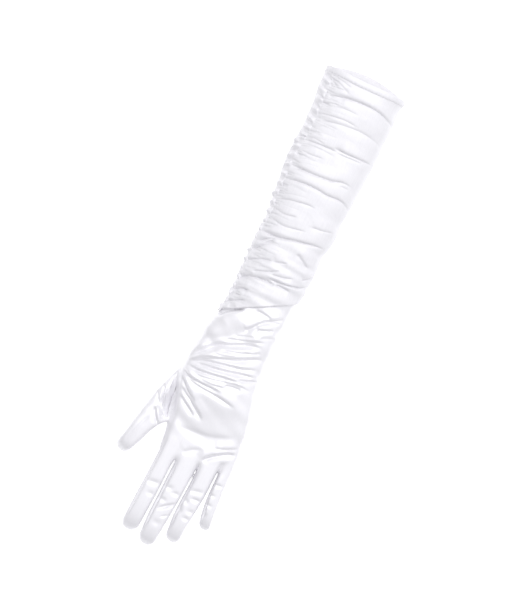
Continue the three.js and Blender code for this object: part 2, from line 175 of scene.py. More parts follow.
def tube_rings(start, end, steps, around, grow):
    """Rings of the tube between two lines across it, as an array of ring, point, and x, y, z: `steps`
    is their number or their shares of the way, and `grow` moves the surface out, by one number or one
    for each point. The section gets squarer from the thumb's root to the knuckles."""
    t = np.linspace(0, 1, steps)[:, None] if np.isscalar(steps) else np.asarray(steps)[:, None]
    line = [a + (b - a) * t for a, b in zip(start, end)]
    angle = even_angles(around)[None, :]
    squarer = 2.0 * smoothstep((-85 - line[1]) / 55)
    across, rise = section(angle, 1.0, 0.0, squarer)
    y = line_across(line, across, rise)
    left, right, height = tube_size(y)
    across, z = section(angle, height, grow, squarer)
    x = (left + right) / 2 + ((right - left) / 2 + grow) * across
    return np.stack([x, y, z], axis=2)


def outward(rings):
    """Unit normals of rings of points: the cross product of the steps round and along the surface."""
    around = np.roll(rings, -1, 1) - np.roll(rings, 1, 1)
    down = np.gradient(rings, axis=0)
    normal = np.cross(down, around)
    normal /= np.maximum(np.linalg.norm(normal, axis=2, keepdims=True), 1e-9)
    return -normal


def creased(x, y, lines, lip=0.25, sharp=0.68, core=0.4, blunt=1.0, flare=1.4):
    """Height of cloth that is creased along lines. Across a line it falls to the line's depth as
    exp(-(distance / half width) to the power `blunt`). The share `sharp` of the fall is a narrow
    core, `core` times as wide, and the rest is three times as wide to the right of the line's way as
    to its left. `flare` widens and deepens the core where the line starts. A rounded lip, `lip` times
    the depth, stands beside the crease on its left. All of it runs out at the line's ends."""
    height = np.zeros_like(x)
    for depth, width, points in lines:
        path = np.array(points, float)
        run = np.r_[0, np.cumsum(np.hypot(*np.diff(path.T)))]
        t = np.linspace(0, run[-1], max(int(run[-1] / 1.6), 4))
        px, py = smooth_through(run, path[:, 0], t), smooth_through(run, path[:, 1], t)
        reach = 9 * width
        near = ((x > px.min() - reach) & (x < px.max() + reach)
                & (y > py.min() - reach) & (y < py.max() + reach))
        dx, dy = x[near][:, None] - px[:-1], y[near][:, None] - py[:-1]
        sx, sy = np.diff(px), np.diff(py)
        s = np.clip((dx * sx + dy * sy) / (sx ** 2 + sy ** 2), 0, 1)
        away = np.hypot(dx - s * sx, dy - s * sy)
        best = away.argmin(axis=1)
        row = np.arange(len(best))
        away, s = away[row, best], s[row, best]
        leftward = (sx * dy - sy * dx)[row, best] > 0
        share = (t[best] + s * (t[1] - t[0])) / run[-1]
        taper = smoothstep(5 * share) * smoothstep(4 * (1 - share))
        start = np.clip(1 - share, 0, 1) ** 4
        broad = np.exp(-(away / np.where(leftward, 0.9 * width, 2.8 * width)) ** (0.2 + blunt))
        core_width = core * width * (1 + flare * start)
        valley = sharp * (1 + 0.4 * flare * start) * np.exp(-(away / core_width) ** blunt)
        valley += (1 - sharp) * broad
        swell = np.where(leftward, away / (2.4 * width) * np.exp(1 - away / (2.4 * width)), 0)
        fade = smoothstep((reach - away) / (0.45 * reach))
        height[near] += depth * taper * fade * (lip * swell - valley)
    return height


def ripples(x, y, seed, size, count=9):
    """Low uneven swelling of loose cloth, from -1 to 1: the mean of waves of about one size whose
    directions and phases are random, from a fixed seed."""
    random = np.random.default_rng(seed)
    total = np.zeros_like(x)
    for turn, phase, stretch in random.uniform(0, 1, (count, 3)):
        angle, wave = turn * 2 * np.pi, 2 * np.pi / (size * (0.7 + 0.8 * stretch))
        total += np.sin((x * np.cos(angle) + 1.6 * y * np.sin(angle)) * wave + phase * 2 * np.pi)
    return total / np.sqrt(count)


def meshed(name, points, faces):
    """A smooth-shaded object from points in millimetres, measured from under the wrist."""
    mesh = bpy.data.meshes.new(name)
    mesh.from_pydata(((points + SHIFT) / 1000).tolist(), [], faces)
    mesh.polygons.foreach_set("use_smooth", np.ones(len(mesh.polygons), bool))
    mesh.update()
    piece = bpy.data.objects.new(name, mesh)
    bpy.context.scene.collection.objects.link(piece)
    return piece


def cloth_piece(name, rings, ends="loop"):
    """A mesh of quads over rings of points in millimetres, which face outwards. The last ring joins
    the first one, or both ends are closed by a fan round their middle point."""
    count, around = rings.shape[:2]
    index = np.arange(count * around).reshape(count, around)
    below = np.roll(index, -1, 0) if ends == "loop" else index[1:]
    above = index if ends == "loop" else index[:-1]
    quads = np.stack([above, np.roll(above, -1, 1), np.roll(below, -1, 1), below], axis=2)
    points = rings.reshape(-1, 3)
    faces = quads.reshape(-1, 4).tolist()
    if ends == "fans":
        points = np.vstack([points, rings[0].mean(0), rings[-1].mean(0)])
        first, last = len(points) - 2, len(points) - 1
        top, low = index[0], index[-1]
        faces += np.stack([np.roll(top, -1), top, np.full(around, first)], axis=1).tolist()
        faces += np.stack([low, np.roll(low, -1), np.full(around, last)], axis=1).tolist()
    return meshed(name, points, faces)


def seam_gathers():
    """Short fine folds that run from the gathered seam into the arm, about 2 mm apart, and the longer
    the shallower. Each rises a little towards the cuff, and bends back down towards its end."""
    random = np.random.default_rng(7)
    lines = []
    for y in np.arange(214, -18, -2.0):
        jitter, length = random.uniform(-1, 1), 6 + 26 * random.uniform() ** 2
        rise = random.uniform(-0.05, 0.3)
        depth, width = random.uniform(5, 12) / (length + 2), random.uniform(0.8, 1.4)
        start = -30.5 + 4 * smoothstep((100 - y) / 60)
        middle = (start + length / 2, y + jitter + rise * length * 0.65)
        end = (start + length, y + jitter + rise * length)
        lines.append((depth, width, [(start, y + jitter), middle, end]))
    return lines


def folded(rings, height, share=1.0):
    """Rings moved out along their normals by a height, which dies away on the underside: there the
    cloth is pressed flat, and nothing of it goes below the surface it lies on."""
    normal = outward(rings)
    height = height * share * smoothstep((normal[..., 2] + 0.75) / 0.5)
    moved = rings + normal * height[..., None]
    moved[..., 2] = np.maximum(moved[..., 2], rings[..., 2].min())
    return moved


def arm_folds(rings):
    """Creases and small gathers of the arm, deeper in its lower third, over a low swelling. Its last
    2 mm are turned under at the wrist."""
    x, y = rings[..., 0], rings[..., 1]
    height = (0.58 + 0.32 * smoothstep((72 - y) / 15)) * creased(x, y, ARM_CREASES)
    height = height + 0.75 * creased(x, y, seam_gathers(), lip=0.1) + 0.2 * ripples(x, y, 3, 34)
    height += 0.35 * smoothstep((78 - y) / 30) * ripples(x * 0.3, y, 12, 15)
    last = np.linspace(0, 1, len(rings))[:, None] * ARM_LENGTH - (ARM_LENGTH - TURNED_UNDER)
    return height - 1.0 * smoothstep(last / TURNED_UNDER) ** 2


def linear(hex_colour):
    """An sRGB hex colour as the linear values that a shader takes."""
    c = np.array([int(hex_colour[i:i + 2], 16) / 255 for i in (1, 3, 5)])
    return (*np.where(c <= 0.04045, c / 12.92, ((c + 0.055) / 1.055) ** 2.4), 1.0)


def add(tree, kind, links=(), inputs=(), **settings):
    """A node with its settings, its inputs' values, and links: pairs of an input and what feeds it.
    An input is named, or numbered where several share a name, such as a Mix node's two colours."""
    node = tree.nodes.new(kind)
    for name, value in settings.items():
        setattr(node, name, value)
    for name, value in inputs:
        node.inputs[name].default_value = value
    for name, output in links:
        tree.links.new(output, node.inputs[name])
    return node


def satin_finish(name, bright, dim, mirror, roughness, rumple):
    """Woven satin: slubs along the threads that vary its white a little, fine ribs for the threads
    that float over the weave, and a slight rumple. mirror is the share of light that the threads send
    back as a sheet of metal would."""
    finish = bpy.data.materials.new(name)
    finish.use_nodes = True
    tree = finish.node_tree
    tree.nodes.clear()
    place = add(tree, "ShaderNodeTexCoord").outputs["Object"]
    # The real threads lie 0.12 mm apart. They are drawn 0.6 mm apart, the finest that shows: 1600
    # steps of the noise to a metre across them, and 70 along them.
    across = add(tree, "ShaderNodeMapping", [("Vector", place)], [("Scale", (1600.0, 70.0, 1600.0))])
    slub = add(tree, "ShaderNodeTexNoise", [("Vector", across.outputs[0])],
               [("Scale", 1.0), ("Detail", 2.0)])
    soft = add(tree, "ShaderNodeTexNoise", [("Vector", place)], [("Scale", 150.0), ("Detail", 3.0)])
    tint = add(tree, "ShaderNodeMix", [("Factor", slub.outputs["Fac"])],
               [(6, linear(bright)), (7, linear(dim))], data_type="RGBA")
    ribs = add(tree, "ShaderNodeBump", [("Height", slub.outputs["Fac"])],
               [("Strength", 0.12), ("Distance", 0.0002)])
    worn = add(tree, "ShaderNodeBump", [("Height", soft.outputs["Fac"]), ("Normal", ribs.outputs[0])],
               [("Strength", rumple), ("Distance", 0.001)])
    cloth = add(tree, "ShaderNodeBsdfPrincipled",
                [("Base Color", tint.outputs[2]), ("Normal", worn.outputs[0])],
                [("Metallic", mirror), ("Roughness", roughness), ("Sheen Weight", 0.15),
                 ("Sheen Roughness", 0.4)])
    add(tree, "ShaderNodeOutputMaterial", [("Surface", cloth.outputs[0])])
    return finish


# White polyester satin, gathered: the folds turn the floating threads every way, so it looks almost
# matt, with a faint cool tint in its depths.
ruched_satin = satin_finish("woven polyester satin, ruched", "#EEEDF0", "#E2E1E5", 0.12, 0.5, 0.3)

arm_outer = tube_rings(HEM_LINE, WRIST_LINE, OUTER_RINGS, ROUND_ARM, 0.0)
arm_outer = folded(arm_outer, arm_folds(arm_outer))
arm_inner = tube_rings(HEM_LINE, WRIST_LINE, INNER_RINGS, ROUND_ARM, -WALL)
arm_inner = folded(arm_inner, arm_folds(arm_inner), 0.85)[::-1]
arm = cloth_piece("ruched_arm", np.concatenate([arm_outer, arm_inner]))
arm.data.materials.append(ruched_satin)
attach(arm, "root")
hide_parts("arm_sleeve")


# The gathered seam
# The arm's cloth is stretched out, stitched to a short elastic and let go, so that it bunches along
# the seam. A band of slanting puffs lies beside the stitches, on the thumb side of the arm.

# y of the pinches between the puffs, where they meet the thumb side's edge and the stitches
PINCHES = np.array([
    (222, 219), (213.5, 208.5), (205, 199.5), (196, 190.5), (186.5, 181.5), (178, 172.5),
    (169.5, 164.5), (161, 158), (152, 153), (143.5, 147.5), (134, 139.5), (124.5, 131), (116.5, 122),
    (108.5, 113), (100, 103.5), (92, 94), (84, 85), (76.5, 76.5), (68.5, 68), (60, 59.5), (52, 51),
    (44.5, 43), (37, 35), (29, 27), (21.5, 19), (14, 11), (6, 3), (-2, -5), (-10, -13), (-19, -21),
    (-27, -29),
])

# Where the band lies: y, the angle round the arm from its right edge to the band's middle, and the
# band's width along the cloth
SEAM_PATH = np.array([
    (-40, 170, 12), (60, 166, 12), (95, 162, 13), (120, 157, 15), (145, 153, 17), (229, 152, 17),
])
SEAM_ENDS = (213.8, -20.5)  # y of the band's two ends
ARM_RADIUS = 31  # mean radius of the arm, which turns a length along the cloth into an angle
BAND_BACK = -1.6  # height of the band's back, inside the arm's cloth
BAND_ROWS, BAND_COLUMNS = 760, 30


def seam_band(steps, columns, lift):
    """The band's surface: columns of points at even angles about the seam's path, which the tube's
    section puts on the arm, moved out along its normal by lift(side, y). side goes from 1 at the
    stitches to -1 at the thumb side."""
    side = np.linspace(1, -1, columns)[None, :]
    y = np.linspace(*SEAM_ENDS, steps)[:, None] + np.zeros((1, columns))
    degrees, band = [np.interp(y, SEAM_PATH[:, 0], SEAM_PATH[:, k]) for k in (1, 2)]
    left, right, height = tube_size(y)
    points = []
    for nudge in (-0.01, 0.0, 0.01):
        angle = np.radians(degrees) - side * band / 2 / ARM_RADIUS + nudge
        across, z = section(angle, height, 0.0)
        points.append(np.stack([(left + right) / 2 + (right - left) / 2 * across, z], axis=2))
    step = points[2] - points[0]
    step /= np.linalg.norm(step, axis=2, keepdims=True)
    normal = np.stack([step[..., 1], -step[..., 0]], axis=2)
    at = points[1] + normal * lift(side + 0 * y, y)[..., None]
    return np.stack([at[..., 0], y, at[..., 1]], axis=2)


def puffs(side, y):
    """Height of the band: a half-round puff between each pinch and the next. A pinch runs straight
    from its place at the stitches to its place at the thumb side. The puffs sink at both edges."""
    count = np.zeros_like(y)
    for k in range(y.shape[1]):
        share = (side[0, k] + 1) / 2
        pinch = PINCHES[:, 0] * (1 - share) + PINCHES[:, 1] * share
        count[:, k] = np.interp(y[:, k], pinch[::-1], np.arange(len(pinch))[::-1])
    full = np.abs(np.sin(np.pi * count)) ** 0.65
    edge = np.sqrt(np.maximum(1 - side ** 2, 0)) ** 0.7
    wander = 1 + 0.4 * ripples(side * 5, y, 11, 13)
    return (2.7 * full * wander - 0.5) * edge - 0.7


band_top = seam_band(BAND_ROWS, BAND_COLUMNS, puffs)
band_back = seam_band(BAND_ROWS, BAND_COLUMNS, lambda side, y: BAND_BACK + 0 * y)[:, ::-1]
seam = cloth_piece("gathered_seam_puffs", np.concatenate([band_top, band_back], axis=1), ends="fans")
seam.data.materials.append(ruched_satin)
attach(seam, "root")
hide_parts("gathered_seam")


# The hem at the cuff
# The arm's cloth is turned in at the mouth and stitched down by machine, so it is two layers thick
# there. The mouth lies slanted, and its lower lip shows beyond the upper one.

RIM_LINE = (220.5, 219.8, 220.5, 8.4)
HEM_WALL = 1.9

turn = np.linspace(0, 1, 15)  # from the mouth to the hem's turned edge
hem_out = tube_rings(RIM_LINE, HEM_LINE, turn, ROUND_ARM, 0.0)
round_over = 0.55 * (1 - (2 * turn - 1) ** 2) - 0.02
swell = round_over[:, None] + 0.15 * ripples(hem_out[..., 0], hem_out[..., 1], 5, 16)
hem_out += outward(hem_out) * swell[..., None]
hem_out[..., 2] = np.maximum(hem_out[..., 2], 0)
hem_in = tube_rings(HEM_LINE, RIM_LINE, 6, ROUND_ARM, -HEM_WALL)
hem = cloth_piece("turned_hem", np.concatenate([hem_out, hem_in]))
hem.data.materials.append(ruched_satin)
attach(hem, "root")
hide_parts("cuff_hem")

STITCH, STITCH_GAP, THREAD = 2.5, 0.9, 0.42  # length of a stitch, gap, and the thread's diameter
STITCH_TOP, STITCH_BOW = 0.24, 0.3  # height of a stitch's middle, and how much lower its ends lie


def stitches(name, seam_line, normal):
    """A row of stitches along a closed line of points. Each is a bead: rings of six points round the
    line, whose radius follows the square root of 1 - u squared as u goes from -1 to 1. It bows up
    over the cloth and dips into it at both ends, and underneath it lies on the ground."""
    closed = np.vstack([seam_line, seam_line[:1]])
    run = np.r_[0, np.cumsum(np.linalg.norm(np.diff(closed, axis=0), axis=1))]
    count = int(run[-1] / (STITCH + STITCH_GAP))
    u = np.linspace(-0.98, 0.98, 7)[None, :]
    at = (np.arange(count)[:, None] + 0.5) * run[-1] / count + u * STITCH / 2
    spine, up = [np.stack([np.interp(at, run, np.vstack([v, v[:1]])[:, k]) for k in range(3)], axis=2)
                 for v in (seam_line, normal)]
    along = np.gradient(spine, axis=1)
    along /= np.linalg.norm(along, axis=2, keepdims=True)
    aside = np.cross(along, up)
    spine = spine + up * (STITCH_TOP - STITCH_BOW * u[..., None] ** 2)
    spine[..., 2] = np.maximum(spine[..., 2], THREAD / 2)
    round_it = np.arange(6) / 6 * 2 * np.pi
    ring = aside[:, :, None] * np.cos(round_it)[:, None] + up[:, :, None] * np.sin(round_it)[:, None]
    points = spine[:, :, None] + ring * (THREAD / 2 * np.sqrt(1 - u ** 2))[..., None, None]
    index = np.arange(points[..., 0].size).reshape(points.shape[:3])
    one, two = index[:, :-1], index[:, 1:]
    quads = np.stack([two, np.roll(two, -1, 2), np.roll(one, -1, 2), one], axis=3)
    faces = quads.reshape(-1, 4).tolist() + index[:, 0].tolist() + index[:, -1, ::-1].tolist()
    return meshed(name, points.reshape(-1, 3), faces)


# The row lies 1.5 mm inside the hem's turned edge.
row = np.argmin(np.abs(turn - 0.75))
hem_stitches = stitches("hem_stitches", hem_out[row], outward(hem_out)[row])
# Two-ply spun polyester thread: it looks matt and a shade greyer than the satin, like fine cord.
thread = satin_finish("spun polyester sewing thread", "#E9E8EB", "#D3D2D6", 0.0, 0.6, 0.2)
hem_stitches.data.materials.append(thread)
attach(hem_stitches, "root")


# The hand, its four fingers and its thumb
# Palm, back and fingers are cut from smooth satin and turned right side out, so their seams lie
# inside. The thumb is sewn into a slit at the side, and the back drags in folds from its root.

# Each finger: how far down the hand, left edge, right edge and height, from inside the hand to the tip
FINGERS = {
    "index": [(118, -28, -9, 17), (150, -26.1, -8.9, 16.8), (157, -26.2, -9.8, 16.8),
              (166, -26.5, -10.7, 16.7), (180, -27, -11, 16.5), (195, -27.7, -11.5, 16.2),
              (210, -28.4, -12.3, 15.6), (222, -28.9, -12.9, 13.8), (234.2, -29.3, -13.5, 8.5)],
    "middle": [(118, -7.8, 12.2, 17), (150, -8.8, 11.9, 16.8), (160, -8.5, 11.1, 16.7),
               (170, -8.8, 10.5, 16.6), (185, -9.1, 9.7, 16.3), (195, -9.4, 9.1, 16.1),
               (205, -9.8, 8.4, 15.8), (220, -9.8, 7.2, 14.9), (229, -9.6, 6.8, 13),
               (239.8, -9.3, 6.4, 8.5)],
    "ring": [(116, 13, 30.4, 16.5), (142, 12.4, 30.8, 16.3), (150, 12.2, 30.1, 16.2),
             (160, 12.5, 29.7, 16.1), (175, 12.1, 29.4, 15.8), (190, 11.3, 28.1, 15.5),
             (205, 11, 26.8, 14.9), (216, 11.6, 26.1, 13.2), (227.8, 12.4, 25.6, 8.3)],
    "little": [(108, 30.6, 36, 13), (120, 30.5, 38.6, 14.4), (131, 30.4, 41, 14.9),
               (142, 30.7, 41.7, 14.7), (152, 31.3, 42.1, 14.5), (170, 31.4, 42.9, 14.1),
               (185, 32.2, 44, 13.5), (195, 33.6, 45, 12.2), (205.6, 35.6, 46.4, 8)],
}
FINGER_ROOTS = (-153, -151, -134, 0)

# The creases of the hand: depth, half width, and the points of the line from left to right
HAND_CREASES = [
    (2.1, 1.9, [(-10, -9), (-17, -12), (-22, -15.3), (-27, -19.5), (-32.5, -26.5)]),
    (1.3, 1.3, [(3, -20.5), (10, -13), (18, -7.5), (26, -2.5)]),
    (1.0, 1.2, [(-3, -27), (2, -22), (6, -17)]),
    (1.1, 1.2, [(6, -22.5), (14, -19.5), (22, -16)]),
    (0.8, 1.0, [(-2, -6), (7, -6.5), (15, -8)]),
    (0.6, 1.0, [(8, -13), (18, -10), (25, -7)]),
    (0.6, 1.0, [(12, -28), (20, -24), (27, -21.5)]),
    (0.8, 1.2, [(-17, -42.5), (-8, -38.5), (0, -36), (10, -32.5), (21, -28.5)]),
    (0.5, 1.0, [(-9, -35.5), (0, -31.5), (9, -28.5)]),
    (2.1, 1.8, [(-38, -72), (-33, -63.5), (-27, -55.5), (-21, -49.7), (-10, -45), (0, -40.5),
                (10, -36.5), (21, -35)]),
    (0.7, 1.1, [(-16, -52), (0, -48), (13, -43)]),
    (0.5, 1.0, [(-21, -57.5), (-8, -55), (3, -51)]),
    (0.6, 1.0, [(4, -46), (13, -43), (20, -39)]),
    (2.0, 1.8, [(-37, -73), (-24, -64.5), (-10, -59.2), (0, -55.5), (10, -50.5), (20, -45.5),
                (28, -43.5)]),
    (1.8, 1.4, [(-39, -74.5), (-30, -69.5), (-20, -66), (-10, -63.8), (0, -61.8), (10, -59.5),
                (25, -53.5)]),
    (2.0, 1.5, [(-37, -74), (-27, -71.5), (-10, -69), (0, -67), (10, -64.5), (28, -61)]),
    (1.3, 1.1, [(10, -70), (18, -67.5), (28.5, -63)]),
    (1.8, 1.4, [(-38, -76), (-30, -77), (-15, -76), (0, -73.5), (16, -70.8)]),
    (1.0, 1.1, [(-33, -80), (-24, -81.2), (-14, -80), (0, -77), (12, -74.5), (28, -75)]),
    (1.3, 1.4, [(1, -79.8), (8, -77.8), (19, -76.8)]),
    (1.9, 1.5, [(-40, -78.5), (-35, -83), (-30, -85.5), (-20, -86.6), (-10, -87), (4, -86.8)]),
    (0.7, 1.0, [(-23, -83), (-10, -83.5), (5, -81.5)]),
    (1.2, 1.3, [(-34, -87.5), (-20, -90), (0, -91.5), (12, -93), (21, -94.3)]),
    (1.8, 1.4, [(-39, -85), (-34, -91), (-30, -94.5), (-24, -99), (-15, -105)]),
    (1.2, 1.4, [(-35, -95.5), (-26, -101.5), (-18, -106), (-10, -111.5), (-2, -117.5)]),
    (0.9, 1.3, [(-32, -103.5), (-20, -111), (-10, -117)]),
    (0.6, 2.6, [(-22, -130.5), (-5, -129), (10, -127), (22, -122.5), (33, -117)]),
    (0.6, 1.3, [(17, -135), (28, -131), (39, -125)]),
    (0.5, 1.7, [(-7, -150.5), (0, -144.5), (11, -139.5)]),
    (1.6, 1.6, [(12, -151), (16, -145.5), (20.6, -141.5), (28, -136.5), (35, -133), (40, -131)]),
    (2.2, 1.6, [(-31, -131), (-32.8, -123), (-35.6, -110), (-38.6, -93)]),
    (1.9, 5.0, [(-35, -52), (-22, -43), (-8, -33.5), (7, -21)]),
    (1.5, 1.1, [(-44.5, -113), (-40, -124), (-33.5, -130.5)]),
    (1.5, 1.1, [(-47.5, -122.5), (-41.5, -131.5), (-36, -138)]),
    (1.2, 1.2, [(-47, -100), (-43.5, -112), (-38, -124)]),
    (1.0, 1.1, [(-43.5, -86), (-42.6, -98), (-40.5, -110)]),
    (0.8, 1.0, [(-50, -108), (-46.5, -116), (-42, -123)]),
    (0.35, 0.9, [(-58.5, -166), (-52, -145), (-46.5, -128)]),
    (0.8, 0.8, [(-27.4, -229), (-26, -190), (-25, -165), (-24.5, -138)]),
    (0.9, 0.8, [(-8.4, -232), (-8, -200), (-7, -153)]),
    (0.9, 0.8, [(12.6, -222), (12.2, -200), (13.6, -155)]),
    (0.9, 0.8, [(31.6, -149), (32.4, -175), (37.5, -203)]),
]

# Dents where a joint bends and the loose tip of a finger falls in: x, y, half length, half width, the
# angle that the dent is turned by, and depth
DENTS = np.array([
    (-18, -185, 6.5, 2.4, 8, 1.1), (-16, -195.4, 2.8, 2, 0, 0.8), (-3.4, -183.5, 3.4, 2, 20, 0.9),
    (4.5, -186.2, 3.2, 1.8, 5, 0.9), (-4.6, -195.6, 3.6, 2, 10, 1.0), (1.8, -199.8, 7, 1.6, 38, 1.6),
    (3.9, -208.6, 3.4, 0.9, 35, 0.8), (0, -216.9, 4.4, 3.2, 0, 0.8), (20.5, -176.4, 6.2, 2, 15, 0.9),
    (23.3, -183.7, 4.2, 1.8, 5, 1.2), (15.7, -187.9, 2.6, 2.4, 0, 1.1),
    (23.9, -195.5, 3.2, 2.2, 0, 0.9), (22.4, -202.6, 3.2, 2, 0, 1.0),
    (14.1, -197.3, 2.2, 3.2, 0, 1.0), (35, -163.4, 3.8, 1.5, 10, 1.1),
    (34, -173.5, 2.8, 1.5, 0, 0.9), (35.8, -182.9, 2.8, 1.8, 0, 0.9), (36.6, -192.5, 2.2, 2.6, 0, 0.8),
])

# Pits beside the seam where the thumb is set in, by the same columns. They are sunk straight down.
THUMB_PITS = np.array([
    (-35.4, -118, 12, 4.1, 99.7, 11), (-38.8, -98, 12, 2.7, 99.7, 7.5), (-39.5, -113, 8, 1.3, 108, 2.6),
    (-43.6, -112, 8, 1.2, 104, 1.8), (-38.5, -124.5, 5, 1.2, 115, 2.2),
])


def dented(x, y, table):
    """Depth of all dents at each point: each is a bell whose section falls off as exp(-r squared)."""
    height = np.zeros_like(x)
    for at_x, at_y, long, wide, turn, depth in table:
        turn = np.radians(turn)
        u = ((x - at_x) * np.cos(turn) + (y - at_y) * np.sin(turn)) / long
        v = ((y - at_y) * np.cos(turn) - (x - at_x) * np.sin(turn)) / wide
        height -= depth * np.exp(-u ** 2 - v ** 2)
    return height


def digit_rings(rows, steps, around, grow, base=(0, 0), along=(0, -1)):
    """A finger or thumb as rings along a straight line in plan. Its edges and height follow smooth
    curves through its rows. A row's fifth value leans the ring: its height grows by that share at one
    edge and falls by it at the other. The last part is domed: each ring shrinks about its own middle,
    as a superellipse does, to a blunt tip."""
    rows = np.array(rows, float)
    start, tip = rows[0, 0], rows[-1, 0] + grow
    radius = (rows[-1, 2] - rows[-1, 1]) * 0.55
    t = np.sin(np.linspace(0, np.pi / 2, steps)) ** 0.9
    run = (start + (tip - start) * t)[:, None]
    left, right, height = [smooth_through(rows[:, 0], rows[:, k], run) for k in (1, 2, 3)]
    lean = smooth_through(rows[:, 0], rows[:, -1], run) if rows.shape[1] > 4 else 0
    dome = np.clip((run - tip + radius) / radius, 0, 1)
    dome = np.maximum(1 - dome ** 2.15, 0.0004) ** (1 / 2.15)
    across, z = section(np.linspace(0, 2 * np.pi, around, endpoint=False)[None, :], height, grow, 2.2)
    aside = (left + right) / 2 + ((right - left) / 2 + grow) * across * dome
    middle, z = WIDEST * height, z * (1 + lean * across)
    x = base[0] + along[0] * run - along[1] * aside
    y = base[1] + along[1] * run + along[0] * aside
    return np.stack([x, y, middle + (z - middle) * dome], axis=2)


PALM = 153  # from the palm's start, under the arm's end, to the finger roots
OVERLAP = 3  # how far the palm reaches up inside the arm
TUCK = 2.3  # how much narrower it is there than the arm


def palm_rings(steps, around, grow, extra=0.0):
    """The tube from under the arm's lower end to the finger roots, where it is rounded off. It is
    tucked in at its start and reaches the arm's size 28 mm further down, or 9 mm on the underside.
    extra starts it further up, with no change to the rest."""
    start = [v + OVERLAP + extra for v in WRIST_LINE[:3]] + [0]
    run = np.r_[0, 2.4, 3.6, 5, np.linspace(7, PALM, steps), PALM + 2, PALM + 4, PALM + 5.5]
    upper = smoothstep((np.sin(even_angles(around)) + 0.35) / 0.5)[None, :]
    from_start = run[:, None] * (1 + extra / PALM) - extra
    tuck = -TUCK * (1 - smoothstep((from_start - 2) / (9 + 19 * upper)))
    tuck -= np.interp(run, [PALM, PALM + 2, PALM + 4, PALM + 5.5], [0, 0.8, 2.8, 6.5])[:, None]
    return tube_rings(start, FINGER_ROOTS, run / PALM, around, grow + tuck)


def applied(piece):
    """Puts what a piece's modifiers make of it into its mesh."""
    graph = bpy.context.evaluated_depsgraph_get()
    mesh = bpy.data.meshes.new_from_object(piece.evaluated_get(graph))
    piece.modifiers.clear()
    piece.data = mesh


def joined_cloth(name, parts, grain):
    """One closed skin round several overlapping closed skins: they are put into one mesh and laid
    out again on a grid of `grain` millimetres, which drops what lies inside."""
    pieces = [cloth_piece(name, rings, ends="fans") for rings in parts]
    skin = pieces[0]
    with bpy.context.temp_override(active_object=skin, selected_editable_objects=pieces, object=skin):
        bpy.ops.object.join()
    relaid = skin.modifiers.new("relaid", "REMESH")
    relaid.mode, relaid.voxel_size = "VOXEL", grain / 1000
    applied(skin)
    return skin


def points_of(mesh):
    """The mesh's points as an array, in millimetres from under the wrist."""
    flat = np.empty(len(mesh.vertices) * 3)
    mesh.vertices.foreach_get("co", flat)
    return flat.reshape(-1, 3) * 1000 - SHIFT


def set_points(mesh, points):
    """Puts an array of points back into the mesh, from millimetres under the wrist."""
    mesh.vertices.foreach_set("co", ((points + SHIFT) / 1000).ravel())
    mesh.update()


def relaxed(mesh, points, times, amount):
    """Points moved `amount` of the way to the mean of their neighbours, several times over."""
    edges = np.empty(len(mesh.edges) * 2, np.int32)
    mesh.edges.foreach_get("vertices", edges)
    a, b = edges[::2], edges[1::2]
    ends, others = np.r_[a, b], np.r_[b, a]
    ties = np.bincount(ends, minlength=len(points))[:, None]
    for _ in range(times):
        total = [np.bincount(ends, points[others, k], len(points)) for k in range(3)]
        points = points + (np.stack(total, axis=1) / ties - points) * amount
    return points


# The thumb: where its axis starts in plan, the axis, and how far along it each row lies, with its
# outer edge, inner edge, height and lean
THUMB_BASE, THUMB_ALONG = (-24.0, -80.0), (-0.3705, -0.9288)
THUMB = [
    (0, -14.4, -3, 9, 0.4), (6, -15.4, -6, 10.5, 0.4), (12, -15.5, -6.3, 11.4, 0.4),
    (17, -15.5, -5, 12.2, 0.4), (27, -15.3, -0.3, 13.2, 0.4), (36, -14.7, 5.4, 14, 0.35),
    (42, -14, 9.3, 14.6, 0.3), (48, -13.1, 12.4, 15, 0.22), (56, -12.1, 10.2, 15.5, 0.1),
    (64, -10.9, 9.1, 15.6, 0.05), (72, -9.2, 9.1, 15.6, 0), (80, -7.5, 9.3, 15.2, 0),
    (90, -6.1, 8.9, 13.6, 0), (98.6, -5.3, 8, 8.6, 0),
]
THUMB_SEAM, ACROSS_SEAM = (-41, -76), (0.9795, 0.2013)  # a point of its seam, and the way across it
GRAIN, HOLLOW_GRAIN = 0.64, 1.4  # from point to point of the hand's skin and of its hollow's
FLAT_BELOW = 0.35  # what lies lower than this is pressed flat on the ground
SOLE = 1.3  # thickness of the wall that it lies on


def hand_forms(grow, extra, fine):
    """The closed forms of palm, fingers and thumb, grown by `grow`, the palm starting `extra` further
    up inside the arm. `fine` scales how many points they have."""
    count = int(60 * fine)
    forms = [palm_rings(count, 2 * count, grow, extra)]
    forms += [digit_rings(rows, count, int(72 * fine), grow) for rows in FINGERS.values()]
    return forms + [digit_rings(THUMB, int(80 * fine), int(90 * fine), grow, THUMB_BASE, THUMB_ALONG)]


def hand_relief(x, y):
    """Creases, dents and slight swelling of the hand, by place in plan."""
    folds = creased(x, y, HAND_CREASES, lip=0.45, sharp=0.6, core=1.35, blunt=2.0, flare=0.0)
    return (1.35 * folds + dented(x, y, DENTS)
            + 0.35 * ripples(x, y, 21, 27) * smoothstep((y + 152) / 25))


